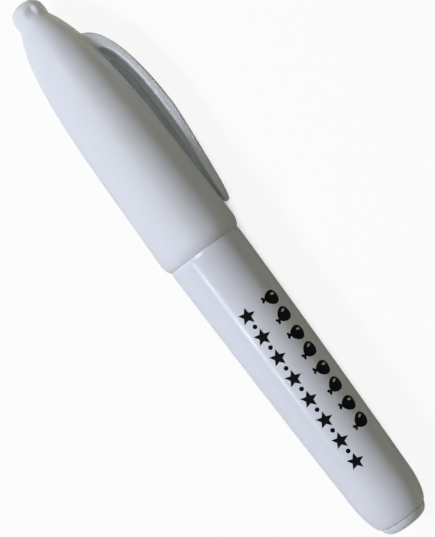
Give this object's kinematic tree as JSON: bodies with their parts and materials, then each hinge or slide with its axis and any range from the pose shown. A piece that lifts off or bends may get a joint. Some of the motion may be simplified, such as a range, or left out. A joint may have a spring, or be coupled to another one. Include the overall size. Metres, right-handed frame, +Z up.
{
  "type": "balloon marker",
  "caption": "Short white marker with a tapered barrel, a bullet nib on a spring valve, a loose mixing ball, and a pull-off cap with a bowed clip and a knobbed nose.",
  "frame": {"origin": "centre of the flat tail face", "axes": "+X along the marker's axis from the tail to the knob on the cap, +Z up from the table it lies on, clip towards -Y and about 28 degrees below level"},
  "size_m": [0.1, 0.0168, 0.0138],
  "materials": {
    "white_gloss": "gloss",
    "white_satin": "satin",
    "natural": "satin",
    "fibre": "matte",
    "rubber": "matte",
    "acetal": "satin",
    "steel": "polished"
  },
  "bodies": {
    "barrel": {"barrel": "white_gloss", "tail_plug": "white_gloss", "nib_holder": "white_gloss", "valve_seat": "rubber", "valve_cage": "acetal", "valve_spring": "steel"},
    "cap": {"cap": "white_satin", "inner_cap": "natural"},
    "nib": {"nib": "fibre", "valve_stem": "acetal"},
    "mixing_ball": {"mixing_ball": "steel"}
  },
  "joints": [
    {"name": "cap_pull", "type": "slide", "parent": "barrel", "child": "cap", "axis": [1, 0, 0], "range_m": [0, 0.04]},
    {"name": "nib_press", "type": "slide", "parent": "barrel", "child": "nib", "axis": [-1, 0, 0], "range_m": [0, 0.0016], "stiffness_N_per_m": 600, "deforming": ["valve_spring"]},
    {"name": "ball_roll", "type": "slide", "parent": "barrel", "child": "mixing_ball", "axis": [0.9996, 0, -0.0267], "range_m": [0, 0.03]}
  ]
}
